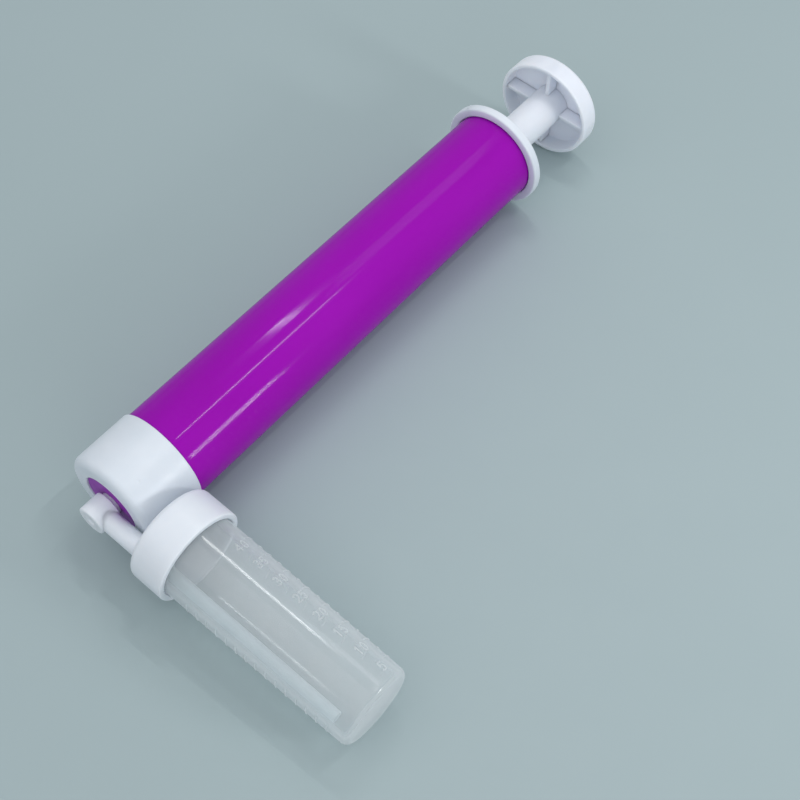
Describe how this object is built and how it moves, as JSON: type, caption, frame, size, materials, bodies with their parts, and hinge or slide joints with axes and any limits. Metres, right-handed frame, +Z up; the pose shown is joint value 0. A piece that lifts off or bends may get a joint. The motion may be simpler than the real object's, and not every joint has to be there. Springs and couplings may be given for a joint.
{
  "type": "hand pump sprayer",
  "caption": "Hand-pumped powder and colour sprayer: piston pump with palm handle, front spray nozzle on a stem, off-centre jar lid, dip tube and graduated jar.",
  "frame": {"origin": "middle of the sprayer's footprint, on the table it lies on", "axes": "+X along the pump from the nozzle to the handle, the jar hangs off the spray head towards -Y, +Z up from the table"},
  "size_m": [0.2522, 0.1306, 0.0418],
  "materials": {
    "barrel_purple": "glossy, slightly translucent moulded purple plastic",
    "plug_purple": "moulded purple plastic, satin",
    "cap_white": "white moulded plastic, soft gloss",
    "rod_white": "white moulded plastic, soft gloss",
    "lid_white": "white moulded plastic, soft gloss",
    "seal_black": "black rubber",
    "gasket_clear": "pale silicone rubber",
    "screw_steel": "zinc-plated steel",
    "tube_natural": "natural polyethylene, milky translucent",
    "jar_frosted": "natural polypropylene, translucent with raised graduations"
  },
  "bodies": {
    "pump": {"pump_barrel": "barrel_purple", "front_cap": "cap_white", "outlet_plug": "plug_purple", "plug_o_ring": "seal_black", "rear_cap": "cap_white"},
    "plunger": {"plunger_rod": "rod_white", "rod_plug": "rod_white", "piston_seal": "seal_black", "piston_backing": "rod_white", "piston_washer": "rod_white", "piston_screw": "screw_steel", "handle_knob": "rod_white"},
    "spray_head": {"spray_elbow": "lid_white", "spigot_o_ring": "seal_black", "nozzle_tip": "lid_white", "jar_lid": "lid_white", "lid_gasket": "gasket_clear", "dip_tube": "tube_natural"},
    "jar": {"graduated_jar": "jar_frosted"}
  },
  "joints": [
    {"name": "plunger_slide", "type": "slide", "parent": "pump", "child": "plunger", "axis": [1, 0, 0], "range_m": [-0.029, 0.135]},
    {"name": "spray_head_swivel", "type": "hinge", "parent": "pump", "child": "spray_head", "pos_m": [-0.1185, 0.04442, 0.0209], "axis": [1, 0, 0], "continuous": true},
    {"name": "jar_pull_off", "type": "slide", "parent": "spray_head", "child": "jar", "axis": [0, -0.9984, -0.0558], "range_m": [0, 0.09]}
  ]
}
